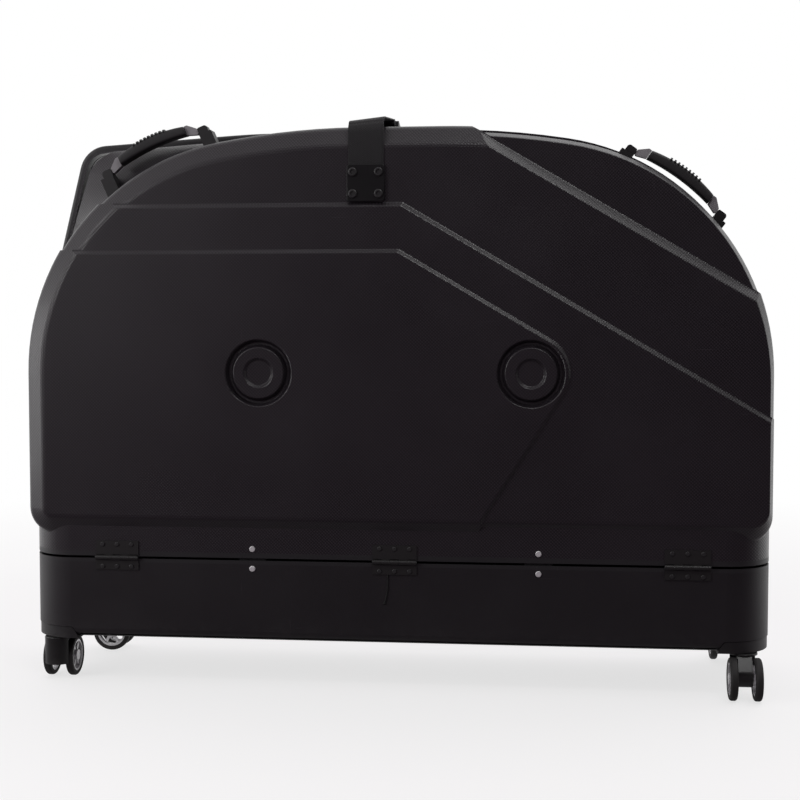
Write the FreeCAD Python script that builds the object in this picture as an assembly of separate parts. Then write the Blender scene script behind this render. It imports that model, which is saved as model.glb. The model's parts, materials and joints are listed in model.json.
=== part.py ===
import FreeCAD, Part
import math
import os

# Hard-shell travel case for a bicycle, standing on four twin-wheel swivel casters.
# Millimetres. The origin is on the floor under the middle of the case, +X runs along it,
# +Y from the hinged shell to the fixed shell, +Z up. The shells part on the plane y = 0.

# Shell outline
half_length = 598.5
shell_top = 900.0
arch_radius = 381.0
arch_corner_z = shell_top - 68.0
crown_share = 0.2964
crown_straight = 2.6
rim_straight = 9.4
flare_straight = 9.9
bulge_bottom = 243.0
bulge_corner = 44.0
draft = 3.0
wall = 3.5

# Rim where the shells meet
rim_top = shell_top + 5.0
rim_shoulder = (63.5 - half_length, rim_top - 19.0, 48.0)
rim_shoulder_rise_x = 358.5 - half_length
rim_lean = (rim_top - 288.0, 250.0)
rim_arch_z = rim_top - 69.0
parting = 2.0
edging_width = 16.0
edging_depth = 10.0
edging_round = 6.0
fit_gap = 0.3
flare_start = 75.0
flare_back = (7.0, 11.0)

# Stepped panels of the shell face, as distances from the parting plane
panel_depths = (126.0, 139.0, 145.0, 150.0)
panel_insets = (0.0, 4.0, 2.0, 0.0)
bevel_depth = 20.0
bevel_width = 32.0
slim_bevel = 8.0
upper_panel_drop = 8.0
bevel_round = 14.0
step_widths = (18.0, 10.0, 9.0)
diagonal = 30.5
upper_line_x = 107.0
middle_line = (shell_top - 124.5, 18.0)
lower_line_z = shell_top - 198.0
panel_edge_slope = 57.7

# Wheel-hub bosses
boss_x = (-210.6, 222.3)
boss_z = 509.3
boss_ring = 53.5
panel_turn = 60.0
boss_disc = 40.5
boss_dish = 24.0
boss_groove = 9.0
boss_dish_depth = 4.0
boss_edge = 2.0
boss_backing = 16.0

# Hinge band, tray and trims
base_overhang = 2.5
base_half_length = half_length + base_overhang
waist_depth = 140.0
plan_corner = 75.0
tray_bottom = 75.0
tray_trim_bottom = 200.0
tray_top = 206.0
shell_bottom = 210.0
shell_wall_bottom = 218.0
tray_edge_round = 16.0
band_top = 290.0

# Hinges
hinge_x = (151.5 - half_length, 7.0, half_length - 131.5)
hinge_z = 208.0
hinge_width = 71.0
hinge_leaf = 2.0
hinge_pin_radius = 2.0
hinge_knuckle = 3.8
hinge_upper_reach = 27.0
hinge_lower_reach = 20.0
hinge_screw_pitch = 24.0
hinge_screw_margin = 5.5
running_fit = 0.05

# Fasteners
small_screw = (3.6, 1.8, 2.0)
plate_screw = (7.0, 3.2, 2.6)
rivet = (4.8, 2.2, 2.2)
rivet_x = (-223.6, 235.3)
rivet_upper_z = 225.0
rivet_lower_z = 193.0
joint_run = half_length - 158.5
joint_count = 6
joint_margin = (30.0, 10.0)
screw_hole_play = 0.2
web_strip_width = 44.0
web_thickness = 2.0

# Closure strap and buckle
strap_x = -38.4
strap_width = 56.0
strap_thickness = 2.2
strap_plate = (60.0, 58.0, 3.0)
strap_plate_z = shell_top - 91.0
strap_screw_pitch = (41.0, 34.0)
strap_turn = (10.0, 9.0, 12.0)
strap_bend = 8.0
buckle_y = 24.0
buckle_z = rim_top + 14.0
socket_size = (70.0, 42.0, 15.0)
tongue_play = 1.3
socket_wall = 2.6

# Cord tail below the middle hinge
cord_x = -4.0
cord_radius = 1.0
cord_standoff = 1.4
cord_length = 47.0
cord_straight = 22.0
cord_bend = 62.0

# Handles
handle_y = -72.0
handle_left = (202.7 - half_length, rim_top - 35.1, 23.4)
handle_right = (half_length - 150.0, rim_top - 93.5, -36.6)
handle_pin_span = 168.0
handle_rise = 16.0
grip_width = 26.0
grip_thick = 18.0
handle_pin_radius = 3.0
handle_end_length = 24.0
bracket_post = 9.0
bracket_knob = 12.0

# Casters
caster_inset = 44.0
caster_x = base_half_length - caster_inset
caster_y = 114.0
caster_trail = 25.0
wheel_radius = 33.5
wheel_width = 12.0
wheel_offset = 19.0
rim_radius = 26.0
axle_radius = 4.0
king_pin_radius = 7.0
fork_head_radius = 22.0
fork_web = 22.0
fork_skirt = 7.0
fork_top = 71.5
housing_top = 92.0
housing_length = 91.0
housing_inner_x = base_half_length - housing_length
housing_inner_y = 58.0
housing_slope = 14.0
housing_gap = 0.8

# Padding
liner_thickness = 12.0
liner_inset = 44.0
pad_height = 30.0

# Tolerance of the solid operations
same_place = 0.001


def vec(x, y, z):
    return FreeCAD.Vector(x, y, z)


def at_depth(y):
    return lambda u, v: vec(u, y, v)


def at_height(z):
    return lambda u, v: vec(u, v, z)


def at_length(x):
    return lambda u, v: vec(x, u, v)


# A corner is (u, v, radius, number of equal arcs). Corners run anticlockwise.
def inset_corners(corners, insets):
    lines = []
    for i, corner in enumerate(corners):
        after = corners[(i + 1) % len(corners)]
        du = after[0] - corner[0]
        dv = after[1] - corner[1]
        length = math.hypot(du, dv)
        shift = insets[i]
        lines.append((corner[0] - dv / length * shift, corner[1] + du / length * shift,
                      du / length, dv / length))
    moved = []
    for i, corner in enumerate(corners):
        a = lines[i - 1]
        b = lines[i]
        cross = a[2] * b[3] - a[3] * b[2]
        along = ((b[0] - a[0]) * b[3] - (b[1] - a[1]) * b[2]) / cross
        radius = corner[2]
        if radius > 0:
            radius -= (insets[i - 1] + insets[i]) / 2 * math.copysign(1, cross)
        moved.append((a[0] + a[2] * along, a[1] + a[3] * along, radius, corner[3]))
    return moved


def evenly(corners, inset):
    return inset_corners(corners, [inset] * len(corners))


def corner_points(before, corner, after):
    to = math.atan2(corner[1] - before[1], corner[0] - before[0])
    turn = math.atan2(after[1] - corner[1], after[0] - corner[0]) - to
    turn = (turn + math.pi) % (2 * math.pi) - math.pi
    side = math.copysign(1, turn)
    reach = corner[2] * math.tan(abs(turn) / 2)
    start = (corner[0] - math.cos(to) * reach, corner[1] - math.sin(to) * reach)
    centre = (start[0] - math.sin(to) * corner[2] * side, start[1] + math.cos(to) * corner[2] * side)
    points = []
    for step in range(2 * corner[3] + 1):
        heading = to + turn * step / (2 * corner[3])
        points.append((centre[0] + math.sin(heading) * corner[2] * side,
                       centre[1] - math.cos(heading) * corner[2] * side))
    return points


def rounded_wire(corners, place):
    stretches = []
    for i, corner in enumerate(corners):
        stretches.append(corner_points(corners[i - 1], corner, corners[(i + 1) % len(corners)]))
    edges = []
    for i, points in enumerate(stretches):
        if corners[i][2] > 0:
            for step in range(0, len(points) - 1, 2):
                arc = Part.Arc(place(*points[step]), place(*points[step + 1]), place(*points[step + 2]))
                edges.append(arc.toShape())
        following = stretches[(i + 1) % len(stretches)][0]
        if math.hypot(following[0] - points[-1][0], following[1] - points[-1][1]) > 0.001:
            edges.append(Part.makeLine(place(*points[-1]), place(*following)))
    return Part.Wire(Part.__sortEdges__(edges))


def prism(corners, place, travel):
    return Part.Face(rounded_wire(corners, place)).extrude(travel)


def across(corners, y_from, y_to):
    return prism(corners, at_depth(y_from), vec(0, y_to - y_from, 0))


def upward(corners, z_from, z_to):
    return prism(corners, at_height(z_from), vec(0, 0, z_to - z_from))


def box(x, y, z):
    return Part.makeBox(x[1] - x[0], y[1] - y[0], z[1] - z[0], vec(x[0], y[0], z[0]))


def rod(radius, start, end):
    axis = end - start
    return Part.makeCylinder(radius, axis.Length, start, axis)


def merge(solids):
    return solids[0].multiFuse(solids[1:], same_place).removeSplitter()


def shared(solid, tool):
    return solid.common([tool], same_place)


def without(solid, tools):
    return solid.cut(tools, same_place)


def group(solids):
    return Part.makeCompound(solids)


def mirrored(shape):
    return shape.mirror(vec(0, 0, 0), vec(0, 1, 0))


def polar(radius, degrees):
    return (radius * math.cos(math.radians(degrees)), radius * math.sin(math.radians(degrees)))


def edges_at_depth(solid, y):
    found = []
    for edge in solid.Edges:
        if all(abs(v.Y - y) < 0.001 for v in edge.Vertexes):
            found.append(edge)
    return found


# Outlines
crown_corner_x = crown_share * half_length


def crown_round(end, foot, top, straight):
    lean = math.atan2(top - foot, end - crown_corner_x)
    run = math.hypot(top - foot, end - crown_corner_x)
    end_reach = arch_radius * math.tan((math.pi / 2 - lean) / 2)
    return (run - end_reach - straight) / math.tan(lean / 2)


crown_radius = crown_round(half_length, arch_corner_z, shell_top, crown_straight)
arch_corners = [
    (-half_length, bulge_bottom, bulge_corner, 1),
    (half_length, bulge_bottom, bulge_corner, 1),
    (half_length, arch_corner_z, arch_radius, 1),
    (crown_corner_x, shell_top, crown_radius, 1),
    (-crown_corner_x, shell_top, crown_radius, 1),
    (-half_length, arch_corner_z, arch_radius, 3)]


def rim_corners(bottom):
    end = half_length + draft
    return [
        (-end, bottom, bulge_corner, 1),
        (end, bottom, bulge_corner, 1),
        (end, rim_arch_z, arch_radius, 1),
        (crown_corner_x, rim_top, crown_round(end, rim_arch_z, rim_top, rim_straight), 1),
        (rim_shoulder_rise_x, rim_top, crown_radius, 1),
        (rim_shoulder[0], rim_shoulder[1], rim_shoulder[2], 1),
        (-end, rim_lean[0], rim_lean[1], 1)]


def flare_corners():
    end = half_length + draft - edging_depth
    top = shell_top + 1
    return [
        (-end, bulge_bottom, bulge_corner, 1),
        (end, bulge_bottom, bulge_corner, 1),
        (end, arch_corner_z, arch_radius, 1),
        (crown_corner_x, top, crown_round(end, arch_corner_z, top, flare_straight), 1),
        (-crown_corner_x, top, crown_radius, 1),
        (rim_shoulder[0] + flare_back[0], rim_shoulder[1] - flare_back[1],
         rim_shoulder[2] - edging_depth, 1),
        (-end, rim_lean[0], rim_lean[1], 1)]


rim_to_floor = rim_corners(shell_bottom - 4 * edging_depth)
plan_full = [
    (-base_half_length, -waist_depth, plan_corner, 1),
    (base_half_length, -waist_depth, plan_corner, 1),
    (base_half_length, waist_depth, plan_corner, 1),
    (-base_half_length, waist_depth, plan_corner, 1)]


def plan_half(near):
    return [plan_full[0], plan_full[1], (base_half_length, -near, 0, 1), (-base_half_length, -near, 0, 1)]


# Shell face: a stack of bevelled arches, each kept below its own step line.
def step_profile(high, low, width):
    slope = math.radians(45)
    sink = 0.2
    height = high - low + sink
    bend = (width - height) / (2 * (math.sin(slope) + math.cos(slope) - 1))
    points = []
    for angle in (0, slope / 2, slope):
        points.append((bend * math.sin(angle) - width / 2, bend * (1 - math.cos(angle)) - high))
    for angle in (slope, slope / 2, 0):
        points.append((width / 2 - bend * math.sin(angle), height - bend * (1 - math.cos(angle)) - high))
    return points


def step_face(points, inner, place):
    edges = [
        Part.makeLine(place(inner, 0), place(inner, points[0][1])),
        Part.makeLine(place(inner, points[0][1]), place(*points[0])),
        Part.Arc(place(*points[0]), place(*points[1]), place(*points[2])).toShape(),
        Part.makeLine(place(*points[2]), place(*points[3])),
        Part.Arc(place(*points[3]), place(*points[4]), place(*points[5])).toShape(),
        Part.makeLine(place(*points[5]), place(points[5][0], 0)),
        Part.makeLine(place(points[5][0], 0), place(inner, 0))]
    return Part.Face(Part.Wire(edges))


# The low side of a step line is on the left of its heading.
def step_block(anchor, heading, high, low, width):
    reach = 3 * half_length
    run = polar(1, heading)
    out = (-run[1], run[0])
    start = vec(anchor[0] - run[0] * reach, 0, anchor[1] - run[1] * reach)

    def place(s, y):
        return vec(start.x + out[0] * s, y, start.z + out[1] * s)

    face = step_face(step_profile(high, low, width), -reach, place)
    return face.extrude(vec(run[0], 0, run[1]) * (2 * reach))


def step_dome(centre, radius, high, low, width):
    points = [(radius + s, y) for s, y in step_profile(high, low, width)]
    face = step_face(points, 0, lambda s, y: vec(centre[0] + s, y, centre[1]))
    return face.revolve(vec(centre[0], 0, centre[1]), vec(0, 1, 0), 360)


# Bevel between side wall and face, as (share of the bevel width, depth behind the face).
def bevel_profile(rounded):
    outer = (0, bevel_depth, bevel_round, 2)
    inner = (bevel_width, 0, bevel_round, 1)
    if not rounded:
        return [(0, bevel_depth), (1, 0)]
    points = corner_points((0, 2 * bevel_depth), outer, inner)
    points += corner_points(outer, inner, (2 * bevel_width, 0))
    return [(u / bevel_width, v) for u, v in points]


def panel_body(level, inset, rounded):
    depth = panel_depths[level] - inset
    side = inset + panel_insets[level]
    outline = [inset, inset, inset, inset, side, side]
    bevel = [bevel_width, slim_bevel, bevel_width, bevel_width, bevel_width, bevel_width]
    if level == 0:
        upper = inset + upper_panel_drop
        outline = [inset, inset, upper, upper, upper, upper]
        bevel = [slim_bevel] * len(arch_corners)
    rim = [value - draft for value in outline]
    rear_y = -(parting + edging_width + fit_gap + inset)
    wires = [rounded_wire(inset_corners(arch_corners, rim), at_depth(rear_y))]
    for share, behind in bevel_profile(rounded):
        insets = [a + b * share for a, b in zip(outline, bevel)]
        wires.append(rounded_wire(inset_corners(arch_corners, insets), at_depth(behind - depth)))
    return Part.makeLoft(wires, True, True)


def stepped_face(inset, rounded):
    back = inset * math.tan(math.radians(22.5))
    depths = [depth - inset for depth in panel_depths]
    bodies = [panel_body(level, inset, rounded) for level in range(4)]
    fall = polar(back, 90 - diagonal)
    centre = (boss_x[1], boss_z)
    over = polar(panel_turn - back, 90 - diagonal)
    under = polar(panel_turn - back, panel_edge_slope - 90)
    top_line = step_block((upper_line_x - fall[0], shell_top - fall[1]), -diagonal,
                          depths[1], depths[0], step_widths[0])
    middle_level = step_block((0, middle_line[0] - back), 0, depths[2], depths[1], step_widths[1])
    middle_fall = step_block((middle_line[1] - fall[0], middle_line[0] - fall[1]), -diagonal,
                             depths[2], depths[1], step_widths[1])
    lower_level = step_block((0, lower_line_z - back), 0, depths[3], depths[2], step_widths[2])
    lower_fall = step_block((centre[0] + over[0], centre[1] + over[1]), -diagonal,
                            depths[3], depths[2], step_widths[2])
    lower_edge = step_block((centre[0] + under[0], centre[1] + under[1]), panel_edge_slope + 180,
                            depths[3], depths[2], step_widths[2])
    turn = step_dome(centre, panel_turn - back, depths[3], depths[2], step_widths[2])
    wedge_points = [vec(centre[0], 0, centre[1])]
    for angle in (90 - diagonal, 0, panel_edge_slope - 90):
        point = polar(half_length, angle)
        wedge_points.append(vec(centre[0] + point[0], 0, centre[1] + point[1]))
    wedge_face = Part.Face(Part.makePolygon(wedge_points + wedge_points[:1]))
    wedge = wedge_face.extrude(vec(0, -2 * panel_depths[3], 0))
    upper = shared(bodies[1], top_line)
    middle = shared(shared(bodies[2], middle_level), middle_fall)
    lower = shared(bodies[3], lower_level)
    straight = without(shared(shared(lower, lower_fall), lower_edge), [wedge])
    round_end = shared(shared(lower, turn), wedge)
    return [bodies[0], upper, middle, straight, round_end]


# Filled shell; inset by the wall it is the space inside.
def shell_form(inset, rounded):
    edge_y = parting + edging_width + fit_gap + inset
    flare = Part.makeLoft([
        rounded_wire(evenly(arch_corners, inset + 1), at_depth(inset - flare_start)),
        rounded_wire(evenly(flare_corners(), 1.1 * inset), at_depth(inset - edge_y))], True, True)
    band_corners = inset_corners(plan_half(edge_y), [inset, inset, 0, inset])
    band = upward(band_corners, shell_wall_bottom - inset, band_top)
    flange = across(evenly(rim_to_floor, inset + edging_depth + fit_gap), -edge_y - wall, inset - parting)
    return merge(stepped_face(inset, rounded) + [flare, band, flange])


# Cuts around the axis of a boss; (radius, depth behind the face).
def boss_cut(centre_x, corners):
    face_y = -panel_depths[3]
    wire = rounded_wire(corners, lambda s, d: vec(centre_x + s, face_y + d, boss_z))
    return Part.Face(wire).revolve(vec(centre_x, 0, boss_z), vec(0, 1, 0), 360)


def boss_groove_cut(centre_x):
    slant = boss_groove / 2
    lip = 0.65 * boss_edge
    return boss_cut(centre_x, [
        (boss_disc - lip, -1, 0, 1), (boss_ring + lip, -1, 0, 1), (boss_ring + lip, 0, 0, 1),
        (boss_ring, 0, boss_edge, 1), (boss_ring - slant, boss_groove, boss_edge, 1),
        (boss_disc + slant, boss_groove, boss_edge, 1), (boss_disc, 0, boss_edge, 1),
        (boss_disc - lip, 0, 0, 1)])


def boss_dish_cut(centre_x):
    lip = boss_edge
    return boss_cut(centre_x, [
        (0, -1, 0, 1), (boss_dish + lip, -1, 0, 1), (boss_dish + lip, 0, 0, 1),
        (boss_dish, 0, boss_edge, 1), (boss_dish - boss_dish_depth, boss_dish_depth, boss_edge, 1),
        (0, boss_dish_depth, 0, 1)])


def above_tray():
    return box((-2 * half_length, 2 * half_length), (-2 * waist_depth, 2 * waist_depth),
               (shell_wall_bottom, 2 * shell_top))


def plain_shell(outside):
    shell = without(shared(outside, above_tray()), [shell_form(wall, False)])
    backing = []
    for x in boss_x:
        backing.append(rod(boss_ring + wall, vec(x, boss_backing - panel_depths[3], boss_z),
                           vec(x, 1 - panel_depths[3], boss_z)))
    shell = merge([shell] + backing)
    for x in boss_x:
        shell = without(shell, [boss_groove_cut(x), boss_dish_cut(x)])
    return shell


def rim_ring(outer_inset, inner_inset, y_from, y_to, rounding):
    ring = across(evenly(rim_to_floor, outer_inset), y_from, y_to)
    if rounding > 0:
        ring = ring.makeFillet(rounding, edges_at_depth(ring, y_from))
    ring = ring.cut(across(evenly(rim_to_floor, inner_inset), y_from - 1, y_to + 1))
    return ring.common(above_tray())


def plan_ring(corners, z_from, z_to):
    insets = [wall] * len(corners)
    if corners[2][2] == 0:
        insets[2] = -wall
    inner = inset_corners(corners, insets)
    return upward(corners, z_from, z_to).cut(upward(inner, z_from - 1, z_to + 1))


# Screws and rivets lie along Y with the head towards -Y, under-head face on y = 0.
def screw(head, grip, recess):
    cap = Part.makeCylinder(head[0], head[1], vec(0, -head[1], 0), vec(0, 1, 0))
    cap = cap.makeFillet(0.6 * head[1], edges_at_depth(cap, -head[1]))
    if recess > 0:
        cap = cap.cut(Part.makeCylinder(recess, head[1] / 2, vec(0, -head[1], 0), vec(0, 1, 0)))
    return merge([cap, rod(head[2], vec(0, -head[1] / 4, 0), vec(0, grip, 0))])


def holes(places, radius):
    return [rod(radius, vec(x, -2 * panel_depths[3], z), vec(x, -waist_depth / 2, z)) for x, z in places]


def placed(shape, x, y, z):
    copy = shape.copy()
    copy.translate(vec(x, y, z))
    return copy


# Hinges
hinge_y = -(waist_depth + hinge_knuckle + fit_gap)
screw_offsets = (-hinge_screw_pitch, 0, hinge_screw_pitch)
hinge_upper_screw_z = hinge_z + hinge_upper_reach - hinge_screw_margin
hinge_lower_screw_z = hinge_z - hinge_lower_reach + hinge_screw_margin
hinge_upper_places = [(x + dx, hinge_upper_screw_z) for x in hinge_x for dx in screw_offsets]
hinge_lower_places = [(x + dx, hinge_lower_screw_z) for x in hinge_x for dx in screw_offsets]


def hinge_leaf_solid(x, rise, reach, segments, places):
    step = hinge_width / 5
    clear = hinge_knuckle + 1
    near = hinge_z + rise * clear
    far = hinge_z + rise * reach
    face = -waist_depth
    end = hinge_width / 2
    pieces = [box((x - end, x + end), (face - hinge_leaf, face), sorted((near, far)))]
    for segment in segments:
        left = x - end + segment * step + fit_gap / 2
        right = left + step - fit_gap
        pieces.append(rod(hinge_knuckle, vec(left, hinge_y, hinge_z), vec(right, hinge_y, hinge_z)))
        rise_z = sorted((hinge_z, near + rise))
        pieces.append(box((left, right), (face - hinge_leaf, face - fit_gap), rise_z))
    leaf = merge(pieces)
    bore = rod(hinge_pin_radius + running_fit, vec(x - hinge_width, hinge_y, hinge_z),
               vec(x + hinge_width, hinge_y, hinge_z))
    return leaf.cut([bore] + holes(places, small_screw[2] + screw_hole_play))


def hinge_pin_solid(x):
    end = hinge_width / 2
    return rod(hinge_pin_radius, vec(x - end, hinge_y, hinge_z), vec(x + end, hinge_y, hinge_z))


# Handles: u runs along the line between the pins, w away from the case.
def handle_frame(handle):
    run = polar(1, handle[2])

    def place(u, w):
        return vec(handle[0] + u * run[0] - w * run[1], handle_y, handle[1] + u * run[1] + w * run[0])

    return place


def thick(face, half):
    face.translate(vec(0, -half, 0))
    return face.extrude(vec(0, 2 * half, 0))


def handle_grip(place):
    end = handle_pin_span / 2 - handle_end_length
    low = 0.1 * grip_thick
    high = 0.95 * grip_thick
    outer = Part.Arc(place(end, high), place(0, handle_rise + grip_thick / 2), place(-end, high)).toShape()
    inner = Part.Arc(place(-end, low), place(0, handle_rise - grip_thick / 2), place(end, low)).toShape()
    wire = Part.Wire([outer, Part.makeLine(place(-end, high), place(-end, low)), inner,
                      Part.makeLine(place(end, low), place(end, high))])
    grip = thick(Part.Face(wire), grip_width / 2)
    long_edges = []
    for edge in grip.Edges:
        if len(edge.Vertexes) == 2 and edge.Length > handle_pin_span / 3:
            long_edges.append(edge)
    return grip.makeFillet(0.25 * grip_thick, long_edges)


def handle_end(place, side):
    near = handle_pin_span / 2 - handle_end_length + fit_gap
    far = handle_pin_span / 2 - bracket_post / 2 - fit_gap
    ring = handle_pin_radius + 2.2
    low = 0.1 * grip_thick
    high = 0.95 * grip_thick
    corners = [
        (side * near, low, 0, 1), (side * far, -ring, ring / 2, 1), (side * far, ring, ring / 2, 1),
        (side * (near + ring), high, ring / 2, 1), (side * near, high, 0, 1)]
    block = thick(Part.Face(rounded_wire(corners, place)), grip_width / 4)
    bore = rod(handle_pin_radius + running_fit, place(side * (far + 1), 0), place(side * (near + ring), 0))
    return block.cut(bore)


def handle_bracket(place, side, outside):
    middle = handle_pin_span / 2
    ring = handle_pin_radius + 2
    inner = middle - bracket_post / 2
    outer = middle + bracket_knob
    deep = 9 * ring
    foot_top = -1.4 * ring
    post_corners = [
        (side * inner, -deep, 0, 1), (side * outer, -deep, 0, 1), (side * outer, ring, ring, 1),
        (side * inner, ring, ring / 2, 1)]
    foot_corners = [
        (side * inner, -deep, 0, 1), (side * (outer + ring), -deep, 0, 1),
        (side * (outer + ring), foot_top, ring / 3, 1), (side * inner, foot_top, 0, 1)]
    post = thick(Part.Face(rounded_wire(post_corners, place)), grip_width / 3)
    foot = thick(Part.Face(rounded_wire(foot_corners, place)), grip_width / 2)
    pin = rod(handle_pin_radius, place(side * middle, 0), place(side * (middle - handle_end_length / 2), 0))
    return without(merge([post, foot, pin]), [outside])


# Casters: built at the origin with the wheel trailing towards +X, then turned and placed.
def corner_block(sign_x, sign_y, margin):
    low = tray_bottom - 2 * wall
    side = [(housing_inner_x - margin, low, 0, 1), (base_half_length + 2 * wall, low, 0, 1),
            (base_half_length + 2 * wall, housing_top + margin, 0, 1),
            (housing_inner_x - margin + housing_slope, housing_top + margin, housing_slope / 2, 1)]
    wire = rounded_wire(side, lambda u, v: vec(sign_x * u, sign_y * (housing_inner_y - margin), v))
    return Part.Face(wire).extrude(vec(0, sign_y * waist_depth, 0))


def caster_housing_solid(sign_x, sign_y):
    plate = upward(evenly(plan_full, 1.5 * housing_gap), fork_top + 1.2, housing_top)
    foot = plate.common(corner_block(sign_x, sign_y, -housing_gap))
    bore = rod(king_pin_radius + running_fit, vec(sign_x * caster_x, sign_y * caster_y, 0),
               vec(sign_x * caster_x, sign_y * caster_y, housing_top - wall))
    return foot.cut(bore)


def caster_fork_solid():
    skirt = wheel_radius - fork_skirt
    front = wheel_radius - caster_trail + 1
    crown = 2 * wheel_radius + 1.5
    head = rod(fork_head_radius, vec(0, 0, skirt), vec(0, 0, fork_top))
    head = head.makeFillet(1.2, [edge for edge in head.Edges if edge.BoundBox.ZMin > fork_top - 0.01])
    reach = 2 * fork_head_radius
    wheel_space = box((-front, reach), (-reach, reach), (0, crown))
    hub = 3 * axle_radius
    root = -front - hub / 2
    tail = caster_trail + hub
    side = [
        (root, skirt + 2, 4, 1), (caster_trail, wheel_radius - hub, axle_radius, 1),
        (tail, wheel_radius - hub, hub - 0.5, 1), (tail, wheel_radius + hub, hub - 0.5, 1),
        (fork_head_radius - 3, crown + 0.5, 4, 1), (root, crown + 0.5, 0, 1)]
    web = prism(side, lambda u, v: vec(u, -fork_web / 2, v), vec(0, fork_web, 0))
    pin = rod(king_pin_radius, vec(0, 0, fork_top - 2), vec(0, 0, housing_top - wall - 1))
    fork = merge([head.cut(wheel_space), web, pin])
    return fork.cut(rod(axle_radius + running_fit, vec(caster_trail, -2 * fork_web, wheel_radius),
                        vec(caster_trail, 2 * fork_web, wheel_radius)))


def around_axle(wire):
    return Part.Face(wire).revolve(vec(caster_trail, 0, wheel_radius), vec(0, 1, 0), 360)


def wheel_ring(inner, outer, middle, width, rounding):
    near = middle - width / 2
    far = middle + width / 2
    corners = [
        (near, inner, 0, 1), (far, inner, 0, 1), (far, outer, rounding, 1), (near, outer, rounding, 1)]
    return around_axle(rounded_wire(corners, lambda u, v: vec(caster_trail, u, wheel_radius + v)))


def caster_rims_solid():
    pieces = [rod(axle_radius, vec(caster_trail, -wheel_offset, wheel_radius),
                  vec(caster_trail, wheel_offset, wheel_radius))]
    for side in (-1, 1):
        middle = side * wheel_offset
        pieces.append(wheel_ring(rim_radius - 3.5, rim_radius, middle, wheel_width - 2, 0))
        hub = rod(2.2 * axle_radius, vec(caster_trail, middle - wheel_width / 2, wheel_radius),
                  vec(caster_trail, middle + wheel_width / 2, wheel_radius))
        pieces.append(hub)
        for turn in range(3):
            spoke = box((caster_trail - rim_radius + 1, caster_trail + rim_radius - 1),
                        (middle - 2.5, middle + 2.5), (wheel_radius - 2.2, wheel_radius + 2.2))
            spoke.rotate(vec(caster_trail, 0, wheel_radius), vec(0, 1, 0), 60 * turn)
            pieces.append(spoke)
    return merge(pieces)


def caster_tyres_solid():
    tyres = []
    for side in (-1, 1):
        tyres.append(wheel_ring(rim_radius + fit_gap / 3, wheel_radius, side * wheel_offset,
                                wheel_width, wheel_width / 3))
    return group(tyres)


def at_caster(shape, sign_x, sign_y, heading):
    copy = shape.copy()
    copy.rotate(vec(0, 0, 0), vec(0, 0, 1), heading)
    copy.translate(vec(sign_x * caster_x, sign_y * caster_y, 0))
    return copy


# Closure strap: a ribbon over the top, in the plane of y and z.
def ribbon(path, x, width, thickness):
    count = len(path)
    headings = []
    for i in range(count - 1):
        headings.append(math.atan2(path[i + 1][1] - path[i][1], path[i + 1][0] - path[i][0]))
    outer = []
    for i, point in enumerate(path):
        before = headings[max(i - 1, 0)]
        after = headings[min(i, count - 2)]
        middle = (before + after) / 2 + math.pi / 2
        reach = thickness / math.cos((after - before) / 2)
        outer.append((point[0] + math.cos(middle) * reach, point[1] + math.sin(middle) * reach,
                      point[2] + thickness, 1))
    outer[0] = outer[0][:2] + (0, 1)
    outer[-1] = outer[-1][:2] + (0, 1)
    inner = [(point[0], point[1], point[2], 1) for point in path]
    return prism(inner + outer[::-1], at_length(x - width / 2), vec(width, 0, 0))


buckle_tilt = math.atan2(buckle_y - hinge_y, buckle_z - hinge_z)


# a runs along the pull of the tongue, b square to it and upward.
def buckle_place(a, b):
    return (buckle_y - a * math.cos(buckle_tilt) + b * math.sin(buckle_tilt),
            buckle_z + a * math.sin(buckle_tilt) + b * math.cos(buckle_tilt))


def buckle_block(half_width, a_from, a_to, half_height, rounding):
    corners = []
    for a, b in ((a_from, half_height), (a_from, -half_height), (a_to, -half_height), (a_to, half_height)):
        y, z = buckle_place(a, b)
        corners.append((y, z, rounding, 1))
    return prism(corners, at_length(strap_x - half_width), vec(2 * half_width, 0, 0))


socket_mouth = socket_size[1] / 6
tongue_front = socket_mouth + 15.0
prong_half = (socket_size[0] / 2 - 2 * socket_wall - tongue_play,
              socket_size[2] / 2 - socket_wall - tongue_play)


def buckle_socket_solid():
    rear = socket_mouth - socket_size[1]
    outer = buckle_block(socket_size[0] / 2, rear, socket_mouth, socket_size[2] / 2, 2.5)
    space = buckle_block(prong_half[0] + tongue_play, rear + 4 * socket_wall, socket_mouth + 1,
                         prong_half[1] + tongue_play, 0)
    window = buckle_block(socket_size[0], rear + 5 * socket_wall, socket_mouth - 4 * socket_wall,
                          prong_half[1], 0)
    return outer.cut([space, window])


def buckle_tongue_solid():
    rear = socket_mouth - socket_size[1] + 4 * socket_wall + 2 * tongue_play
    front = socket_mouth + tongue_play
    prongs = buckle_block(prong_half[0], rear, front + 1, prong_half[1], 0)
    slot = buckle_block(prong_half[0] - 7, rear - 1, front - 2, socket_size[2], 0)
    spine = buckle_block(4, rear, front + 1, prong_half[1], 0)
    body = buckle_block(strap_width / 2 + 2, front, tongue_front, prong_half[1] + tongue_play, 2)
    return merge([prongs.cut(slot), spine, body])


strap_face = panel_depths[1]
strap_top_edge = (strap_face - strap_turn[0], shell_top + strap_turn[1])
strap_front_edge = (strap_face, strap_top_edge[1] - strap_turn[2])
strap_low = strap_plate_z - strap_plate[1] / 2 + 4


def front_strap_solid():
    y, z = buckle_place(tongue_front + fit_gap, -strap_thickness / 2)
    path = [(y, z, 0), (-strap_top_edge[0], strap_top_edge[1], strap_bend),
            (-strap_front_edge[0], strap_front_edge[1], strap_bend), (-strap_face, strap_low, 0)]
    return ribbon(path[::-1], strap_x, strap_width, strap_thickness)


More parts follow.
